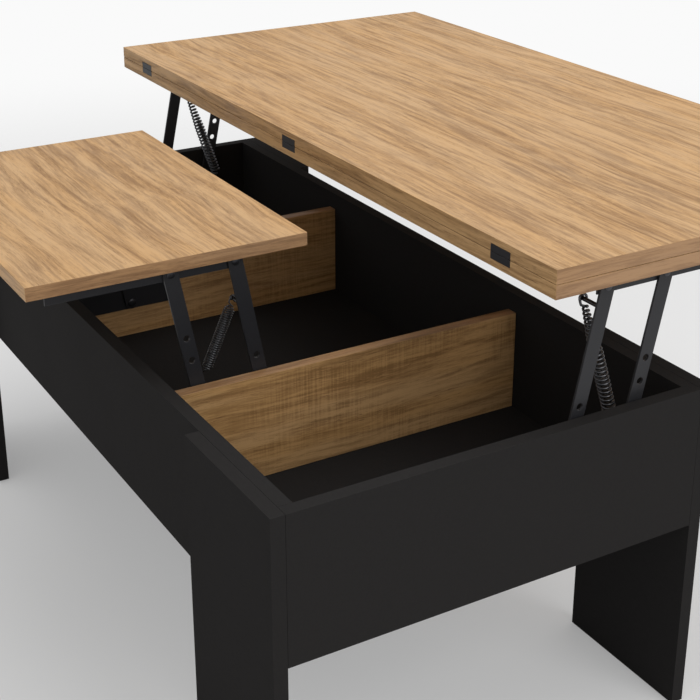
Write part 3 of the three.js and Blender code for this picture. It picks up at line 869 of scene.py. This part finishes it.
def point_cloud(name, places, facings):
    """Loose points that carry the way that a fastener faces, as a turn in radians."""
    mesh = bpy.data.meshes.new(name)
    mesh.from_pydata(places, [], [])
    attribute = mesh.attributes.new("facing", "FLOAT_VECTOR", "POINT")
    for item, facing in zip(attribute.data, facings, strict=True):
        item.vector = facing
    return mesh


def fasteners(name, source_mesh, places, facings, cross_turn, nodes, rides_with):
    """One mesh of like fasteners that ride with one node."""
    source = link(name + "_source", source_mesh)
    points = point_cloud(name + "_points", places, facings)
    mesh = grown_mesh(name, points, once("Fasteners", make_fastener_tree), {
        "Fastener": source, "Cross Turn": cross_turn, "Seed": settings().fasteners.turn_seed,
        "Material": finish("blackened_rivet"),
    })
    bpy.data.objects.remove(source)
    add_piece(name, mesh, nodes, rides_with)


# ---- Operators ------------------------------------------------------------------------------------


def mechanisms():
    """Each mechanism's place in the pairs of settings, its lift, its end and the two as one label."""
    for number, lift in enumerate(LIFTS):
        for end in ENDS:
            yield number, lift, end, f"{lift}_{end}"


def black_board(name, node):
    eased_board(name, node, "black_board", [finish("black_melamine")], lambda normal: 0)


def add_steel(prefix, node, mesh):
    return add_piece(f"{prefix}_{node}", mesh, [node])


def pick_divider(normal):
    """Faces and edge bands of a divider."""
    return 0 if abs(normal.x) > 0.9 else 1


class LIFTTABLE_OT_case(bpy.types.Operator):
    """Build the case's black end, side and bottom boards and the two oak dividers"""

    bl_idname = "lift_table.case"
    bl_label = "Case Boards"

    def execute(self, context):
        for node in BLACK_BOARDS:
            black_board(f"board_{node}", node)
        for node in DIVIDERS:
            eased_board(
                f"board_{node}", node, "oak_board",
                [finish("oak_crosswise"), finish("oak_band_crosswise")], pick_divider)
        return {"FINISHED"}


class LIFTTABLE_OT_legs(bpy.types.Operator):
    """Build the four corner planks and the glides under their feet"""

    bl_idname = "lift_table.legs"
    bl_label = "Corner Planks"

    def execute(self, context):
        edge = settings().arms.steel_edge
        for corner in CORNERS:
            black_board(f"plank_{corner}", f"leg_{corner}")
            node = f"glide_{corner}"
            low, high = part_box(node)
            half_x, half_y = (high.x - low.x) / 2 - edge, (high.y - low.y) / 2 - edge
            ring = rounded_ring((-half_x, -half_y), (half_x, half_y), half_y * 0.95)
            placing = axes(centre_of(node), X_AXIS, Y_AXIS, Z_AXIS)
            mesh = stamped_sheet(
                f"strip_{corner}", [ring], high.z - low.z, placing, finish("glide_plastic"))
            add_piece(f"strip_{corner}", mesh, [node])
        return {"FINISHED"}


def pick_lid(normal):
    """Faces, long edge bands and end edge bands of a lid."""
    if abs(normal.z) > 0.9:
        return 0
    return 1 if abs(normal.y) > abs(normal.x) else 2


def lid_finishes():
    return [finish("oak_lengthwise"), finish("oak_band_lengthwise"), finish("oak_band_crosswise")]


class LIFTTABLE_OT_big_top(bpy.types.Operator):
    """Build the two folded leaves of the big top and their flush hinges"""

    bl_idname = "lift_table.big_top"
    bl_label = "Big Top"

    def execute(self, context):
        edge = settings().arms.steel_edge
        for node in LEAVES:
            eased_board(f"oak_{node}", node, "oak_board", lid_finishes(), pick_lid)
        for node in HINGES:
            low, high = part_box(node)
            half_x, half_z = (high.x - low.x) / 2 - edge, (high.z - low.z) / 2 - edge
            ring = rounded_ring((-half_x, -half_z), (half_x, half_z), 0.0008)
            placing = axes(centre_of(node), X_AXIS, Z_AXIS, -Y_AXIS)
            mesh = stamped_sheet(
                f"plate_{node}", [ring], high.y - low.y, placing, finish("black_powder_coat"))
            add_steel("plate", node, mesh)
        return {"FINISHED"}


class LIFTTABLE_OT_small_lid(bpy.types.Operator):
    """Build the small lid over the middle compartment"""

    bl_idname = "lift_table.small_lid"
    bl_label = "Small Lid"

    def execute(self, context):
        eased_board("oak_small_lid", "small_lid", "oak_board", lid_finishes(), pick_lid)
        return {"FINISHED"}


def board_side(node):
    """Where a mechanism's piece is nearest to the board that carries it, along X."""
    low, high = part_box(node)
    return high.x if INWARD[node.split("_")[1]] < 0 else low.x


def arm_line(label, which):
    """The base pivot of an arm, its direction and its length between the pivots."""
    base = centre_of(f"{label}_{which}_base_rivet")
    top = centre_of(f"{label}_{which}_top_rivet")
    base.x = top.x = centre_of(f"{label}_outer_arm").x
    reach = top - base
    return base, reach.normalized(), reach.length


class LIFTTABLE_OT_arms(bpy.types.Operator):
    """Build the eight lift arms from flat steel with pivot and open holes"""

    bl_idname = "lift_table.arms"
    bl_label = "Lift Arms"

    def execute(self, context):
        arms = settings().arms
        edge = arms.steel_edge
        outer_holes = (arms.big_outer_holes, arms.small_outer_holes)
        for number, _, _, label in mechanisms():
            open_holes = {"outer": list(outer_holes[number]), "inner": [arms.inner_holes[number]]}
            low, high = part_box(f"{label}_outer_arm")
            for which in ARMS:
                node = f"{label}_{which}_arm"
                base, along, reach = arm_line(label, which)
                rings = [bar_ring(reach, arms.arm_width / 2 - edge)]
                rings += [round_ring(x, 0.0, arms.pivot_hole + edge) for x in (0.0, reach)]
                rings += [round_ring(x, 0.0, arms.arm_hole + edge) for x in open_holes[which]]
                placing = axes(base, along, X_AXIS.cross(along), X_AXIS)
                mesh = stamped_sheet(
                    f"steel_{node}", rings, high.x - low.x, placing, finish("black_powder_coat"))
                add_steel("steel", node, mesh)
        return {"FINISHED"}


def plate_screw_places(label):
    """Screws along the top of a base plate, at its two ends and its middle."""
    inset = settings().fasteners.screw_inset
    low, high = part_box(f"{label}_base_plate")
    z = high.z - inset
    return [(low.y + inset, z), ((low.y + high.y) / 2, z), (high.y - inset, z)]


class LIFTTABLE_OT_base_plates(bpy.types.Operator):
    """Build the four base plates that carry the arms"""

    bl_idname = "lift_table.base_plates"
    bl_label = "Base Plates"

    def execute(self, context):
        arms, screws = settings().arms, settings().fasteners
        edge = arms.steel_edge
        for _, _, end, label in mechanisms():
            node = f"{label}_base_plate"
            low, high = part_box(node)
            rings = [rounded_ring(
                (low.y + edge, low.z + edge), (high.y - edge, high.z - edge), arms.plate_corner)]
            for y, z in plate_screw_places(label):
                rings.append(round_ring(y, z, screws.screw_head[0] + edge))
            middle = X_AXIS * (board_side(node) + INWARD[end] * arms.plate_sheet / 2)
            placing = axes(middle, Y_AXIS, Z_AXIS, X_AXIS)
            mesh = stamped_sheet(
                f"steel_{node}", rings, arms.plate_sheet, placing, finish("black_powder_coat"))
            add_steel("steel", node, mesh)
        return {"FINISHED"}


def rail_section(sheet, web, flange, bend):
    """An angle section from its web's foot: x inward from the web's back and z down from the top."""
    outer = sheet + bend
    steps = [math.pi / 2 * i / CORNER_SIDES for i in range(CORNER_SIDES + 1)]
    inside = [(outer - bend * math.cos(a), -outer + bend * math.sin(a)) for a in steps]
    outside = [(outer - outer * math.sin(a), -outer + outer * math.cos(a)) for a in steps]
    return [(0.0, -web), (sheet, -web), *inside, (flange, -sheet), (flange, 0.0), *outside]


class LIFTTABLE_OT_top_rails(bpy.types.Operator):
    """Build the four angle rails under the lids"""

    bl_idname = "lift_table.top_rails"
    bl_label = "Top Rails"

    def execute(self, context):
        arms = settings().arms
        for _, _, end, label in mechanisms():
            node = f"{label}_top_rail"
            low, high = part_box(node)
            back, inward = board_side(node), INWARD[end]
            section = rail_section(arms.rail_sheet, high.z - low.z, high.x - low.x, arms.rail_bend)
            bm = bmesh.new()
            layer = bm.faces.layers.float.new("eased_edge")
            ring = [bm.verts.new((back + inward * x, low.y, high.z + z)) for x, z in section]
            grown = bmesh.ops.extrude_face_region(bm, geom=[bm.faces.new(ring)])
            moved = [item for item in grown["geom"] if isinstance(item, bmesh.types.BMVert)]
            bmesh.ops.translate(bm, verts=moved, vec=(0.0, high.y - low.y, 0.0))
            bmesh.ops.recalc_face_normals(bm, faces=bm.faces)
            sharp = [edge for edge in bm.edges if edge.calc_face_angle(0.0) > RAIL_SHARP]
            eased = bmesh.ops.bevel(
                bm, geom=sharp, offset=arms.steel_edge, offset_type="OFFSET", segments=2,
                profile=0.5, affect="EDGES", clamp_overlap=True)
            for face in eased["faces"]:
                face[layer] = 1.0
            mesh = finish_mesh(bm, f"steel_{node}", [finish("black_powder_coat")])
            weight_normals(add_steel("steel", node, mesh))
        return {"FINISHED"}


def facing_inward(end):
    return (0.0, 0.0, math.pi if INWARD[end] < 0 else 0.0)


class LIFTTABLE_OT_rivets(bpy.types.Operator):
    """Build the pivot rivets, one mesh for each level of each lift"""

    bl_idname = "lift_table.rivets"
    bl_label = "Pivot Rivets"

    def execute(self, context):
        sizes = settings().fasteners
        head_radius, head_height = sizes.rivet_head
        for lift in LIFTS:
            for level in ("base", "top"):
                nodes = [f"{lift}_{end}_{which}_{level}_rivet" for end in ENDS for which in ARMS]
                low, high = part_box(nodes[0])
                length = high.x - low.x
                back_radius, back = sizes.rivet_back if level == "top" else (0.0, 0.0)
                profile = dome_profile(head_radius, length - head_height, head_height)
                profile += [(sizes.rivet_shank, length - head_height), (sizes.rivet_shank, back)]
                if back:
                    profile += [(back_radius, back), (back_radius, back * 0.5)]
                    profile.append((back_radius * 0.85, 0.0))
                profile.append((0.0, 0.0))
                places, facings = [], []
                for node in nodes:
                    place = centre_of(node)
                    place.x = board_side(node)
                    places.append(place)
                    facings.append(facing_inward(node.split("_")[1]))
                name = f"rivets_{lift}_{level}"
                fasteners(name, lathed(name + "_form", profile), places, facings, 0.0, nodes, nodes[0])
        return {"FINISHED"}


def cross_head_screw(name, countersunk):
    """A screw head along X with a cross recess: flat with a cone behind it, or domed on a flat seat."""
    radius, height = settings().fasteners.screw_head
    if countersunk:
        profile = [(0.0, 0.0), (radius * 0.97, 0.0), (radius, -0.0002)]
        profile += [(radius * 0.45, -height), (0.0, -height)]
    else:
        profile = dome_profile(radius, 0.0, height) + [(0.0, 0.0)]
    form = link(name + "_form", lathed(name + "_form", profile))
    front = 0.0 if countersunk else height
    bm = bmesh.new()
    for along, across in ((radius * 0.62, radius * 0.13), (radius * 0.13, radius * 0.62)):
        scale = Matrix.Diagonal((height * 1.1, 2 * along, 2 * across, 1.0))
        bmesh.ops.create_cube(bm, size=1.0, matrix=Matrix.Translation((front, 0.0, 0.0)) @ scale)
    cutter_mesh = bpy.data.meshes.new(name + "_cross")
    bm.to_mesh(cutter_mesh)
    bm.free()
    cutter = link(name + "_cross", cutter_mesh)
    cut = form.modifiers.new("Cross", "BOOLEAN")
    cut.object = cutter
    cut.operation = "DIFFERENCE"
    cut.solver = "EXACT"
    cut.use_self = True
    shaped = form.evaluated_get(bpy.context.evaluated_depsgraph_get())
    mesh = bpy.data.meshes.new_from_object(shaped)
    form.modifiers.remove(cut)
    bpy.data.objects.remove(form)
    bpy.data.objects.remove(cutter)
    mesh.set_sharp_from_angle(angle=TURNED_SHARP)
    return mesh


class LIFTTABLE_OT_screws(bpy.types.Operator):
    """Build the countersunk plate screws and the domed rail screws"""

    bl_idname = "lift_table.screws"
    bl_label = "Screws"

    def execute(self, context):
        sheet = settings().arms.rail_sheet
        for lift in LIFTS:
            places, facings = [], []
            for end in ENDS:
                label = f"{lift}_{end}"
                front = board_side(f"{label}_base_plate") + INWARD[end] * settings().arms.plate_sheet
                for y, z in plate_screw_places(label):
                    places.append((front - INWARD[end] * 0.0002, y, z))
                    facings.append(facing_inward(end))
            name = f"plate_screws_{lift}"
            fasteners(
                name, cross_head_screw(name, True), places, facings, CROSS_TURN, [],
                f"{lift}_front_base_plate")

            places, facings = [], []
            for end in ENDS:
                node = f"{lift}_{end}_top_rail"
                low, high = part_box(node)
                spread_y = high.y - low.y
                x = (low.x + high.x) / 2 + INWARD[end] * sheet / 2
                for share in (0.12, 0.5, 0.88):
                    places.append((x, low.y + spread_y * share, high.z - sheet))
                    facings.append((0.0, math.pi / 2, 0.0))
            name = f"rail_screws_{lift}"
            fasteners(
                name, cross_head_screw(name, False), places, facings, CROSS_TURN, [],
                f"{lift}_front_top_rail")
        return {"FINISHED"}


def stud_places(lift, end):
    """The axes of a spring's foot and head studs, as points in the outer arm's plane."""
    springs = settings().springs
    label = f"{lift}_{end}"
    past, above = springs.big_foot if lift == "big" else springs.small_foot
    foot = arm_line(label, "outer")[0] + Vector((0.0, TOWARDS[lift] * past, above))
    base, along, _ = arm_line(label, "inner")
    return foot, base + along * springs.head_place[LIFTS.index(lift)]


class LIFTTABLE_OT_studs(bpy.types.Operator):
    """Build the studs that hold the springs, on the base plates and on the inner arms"""

    bl_idname = "lift_table.studs"
    bl_label = "Spring Studs"

    def execute(self, context):
        springs = settings().springs
        collar, collar_depth = springs.stud_collar
        weld = springs.stud_radius * 1.35
        for lift in LIFTS:
            low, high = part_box(f"{lift}_front_outer_arm")
            sheets = {"base_plate": settings().arms.plate_sheet, "inner_arm": high.x - low.x}
            for which, (part, sheet) in enumerate(sheets.items()):
                low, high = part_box(f"{lift}_front_{part}")
                end_x = high.x - low.x
                shank_end = end_x - collar_depth
                ease = collar_depth * 0.25
                profile = [(0.0, end_x), (collar * 0.9, end_x), (collar, end_x - ease)]
                profile += [(collar, shank_end + ease), (collar * 0.9, shank_end)]
                profile += [(springs.stud_radius, shank_end), (springs.stud_radius, sheet + 0.001)]
                profile += [(weld * 0.9, sheet + 0.0003), (weld, sheet - 0.0002), (0.0, sheet - 0.0002)]
                places, facings = [], []
                for end in ENDS:
                    place = stud_places(lift, end)[which]
                    place.x = board_side(f"{lift}_{end}_{part}")
                    places.append(place)
                    facings.append(facing_inward(end))
                name = f"studs_{lift}_{part}"
                form = lathed(name + "_form", profile)
                fasteners(name, form, places, facings, 0.0, [], f"{lift}_front_{part}")
        return {"FINISHED"}


class LIFTTABLE_OT_springs(bpy.types.Operator):
    """Build the four tension springs from the base plates to the inner arms"""

    bl_idname = "lift_table.springs"
    bl_label = "Springs"

    def execute(self, context):
        sizes = settings().springs
        tree = once("Tension spring", make_spring_tree)
        for number, lift, end, label in mechanisms():
            node = f"{label}_spring"
            foot, head = stud_places(lift, end)
            foot.x = head.x = centre_of(node).x
            line = head - foot
            coil, wire = sizes.coil_radius[number], sizes.wire_radius[number]
            low, high = sizes.low_hook[number], sizes.high_hook[number]
            mesh = grown_mesh(f"coil_{node}", bpy.data.meshes.new("spring_seed"), tree, {
                "Turns": float(sizes.turns[number]), "Coil Radius": coil, "Wire Radius": wire,
                "Coil Length": line.length - (low + high), "Low Hook": low, "High Hook": high,
                "Hook Radius": sizes.stud_radius + sizes.hook_play + wire, "Hook Turn": sizes.hook_turn,
                "Taper Turns": float(round(sizes.turns[number] * sizes.taper[number])),
                "Tip Radius": coil * sizes.tip_share, "Material": finish("spring_wire"),
            })
            up = line.normalized()
            mesh.transform(axes(foot, X_AXIS, up.cross(X_AXIS), up))
            mesh.shade_smooth()
            mesh.set_sharp_from_angle(angle=WIRE_SHARP)
            add_piece(f"coil_{node}", mesh, [node])
        return {"FINISHED"}


class LIFTTABLE_OT_stage(bpy.types.Operator):
    """Set the pale floor, the soft light and the camera"""

    bl_idname = "lift_table.stage"
    bl_label = "Stage"

    def execute(self, context):
        stage = settings().stage
        self.lay_floor(stage)
        self.light_world(context.scene, stage)
        self.hang_light("key", stage.key_power, stage.key_place, stage.key_size)
        self.hang_light("fill", stage.fill_power, stage.fill_place, stage.fill_size)
        self.stand_camera(context.scene, stage)
        context.scene.view_settings.view_transform = "Standard"
        return {"FINISHED"}

    def lay_floor(self, stage):
        bm = bmesh.new()
        bmesh.ops.create_circle(bm, cap_ends=True, segments=96, radius=stage.floor_fade[1] + 0.1)
        mesh = bpy.data.meshes.new("floor")
        bm.to_mesh(mesh)
        bm.free()
        link("floor", mesh)
        material, tree, shader, place = new_material("pale_floor")
        shader.inputs["Base Color"].default_value = stage.floor_colour
        shader.inputs["Roughness"].default_value = 0.9
        shader.inputs["Specular IOR Level"].default_value = 0.1
        lifted = put(tree, "ShaderNodeEmission", {"Color": WHITE, "Strength": stage.floor_lift})
        path = tree.nodes.new("ShaderNodeLightPath")
        lift = product_of(tree, path.outputs["Is Camera Ray"], stage.floor_lift_share)
        surface = put(tree, "ShaderNodeMixShader", {
            0: lift, 1: shader.outputs[0], 2: lifted.outputs[0],
        })
        distance = put(tree, "ShaderNodeVectorMath", {0: place}, operation="LENGTH").outputs["Value"]
        faded = spread(tree, distance, stage.floor_fade[0], stage.floor_fade[1])
        clear = tree.nodes.new("ShaderNodeBsdfTransparent")
        mixed = put(tree, "ShaderNodeMixShader", {0: faded, 1: surface.outputs[0], 2: clear.outputs[0]})
        output = next(node for node in tree.nodes if node.type == "OUTPUT_MATERIAL")
        tree.links.new(mixed.outputs[0], output.inputs["Surface"])
        mesh.materials.append(material)

    def light_world(self, scene, stage):
        world = bpy.data.worlds.new("studio")
        world.use_nodes = True
        tree = world.node_tree
        tree.nodes.clear()
        even = put(tree, "ShaderNodeBackground", {"Color": WHITE, "Strength": stage.ambient})
        seen = put(tree, "ShaderNodeBackground", {"Color": WHITE, "Strength": stage.backdrop})
        path = tree.nodes.new("ShaderNodeLightPath")
        mixed = put(tree, "ShaderNodeMixShader", {
            0: path.outputs["Is Camera Ray"], 1: even.outputs[0], 2: seen.outputs[0],
        })
        put(tree, "ShaderNodeOutputWorld", {"Surface": mixed.outputs[0]})
        scene.world = world

    def hang_light(self, name, power, place, size):
        """A square light that faces the origin."""
        light = bpy.data.lights.new(name, "AREA")
        light.shape = "SQUARE"
        light.size = size
        light.energy = power
        lamp = link(name, light)
        lamp.location = place
        lamp.rotation_euler = (-lamp.location).to_track_quat("-Z", "Y").to_euler()

    def stand_camera(self, scene, stage):
        camera = bpy.data.cameras.new("camera")
        camera.lens = stage.camera_lens
        camera.shift_y = stage.camera_shift
        stand = link("camera", camera)
        stand.location = stage.camera_place
        stand.rotation_euler = (math.pi / 2 - stage.camera_pitch, 0.0, stage.camera_heading)
        scene.camera = stand


class LIFTTABLE_PT_build(bpy.types.Panel):
    """Lists the steps that build the table"""

    bl_label = "Lift Top Coffee Table"
    bl_idname = "LIFTTABLE_PT_build"
    bl_space_type = "VIEW_3D"
    bl_region_type = "UI"
    bl_category = "Lift Table"

    def draw(self, context):
        for operator in BUILD_STEPS:
            self.layout.operator(operator.bl_idname)


# ---- Registration and run -------------------------------------------------------------------------


BUILD_STEPS = (
    LIFTTABLE_OT_case,
    LIFTTABLE_OT_legs,
    LIFTTABLE_OT_big_top,
    LIFTTABLE_OT_small_lid,
    LIFTTABLE_OT_base_plates,
    LIFTTABLE_OT_arms,
    LIFTTABLE_OT_top_rails,
    LIFTTABLE_OT_rivets,
    LIFTTABLE_OT_screws,
    LIFTTABLE_OT_studs,
    LIFTTABLE_OT_springs,
    LIFTTABLE_OT_stage,
)
CLASSES = (
    BoardSettings,
    OakSettings,
    BlackSettings,
    ArmSettings,
    FastenerSettings,
    SpringSettings,
    StageSettings,
    TableSettings,
    *BUILD_STEPS,
    LIFTTABLE_PT_build,
)


def register():
    for each in CLASSES:
        bpy.utils.register_class(each)
    bpy.types.Scene.lift_table = PointerProperty(type=TableSettings)


def unregister():
    del bpy.types.Scene.lift_table
    for each in reversed(CLASSES):
        bpy.utils.unregister_class(each)


def main():
    register()
    for operator in BUILD_STEPS:
        group, name = operator.bl_idname.split(".")
        getattr(getattr(bpy.ops, group), name)()


if __name__ == "__main__":
    main()
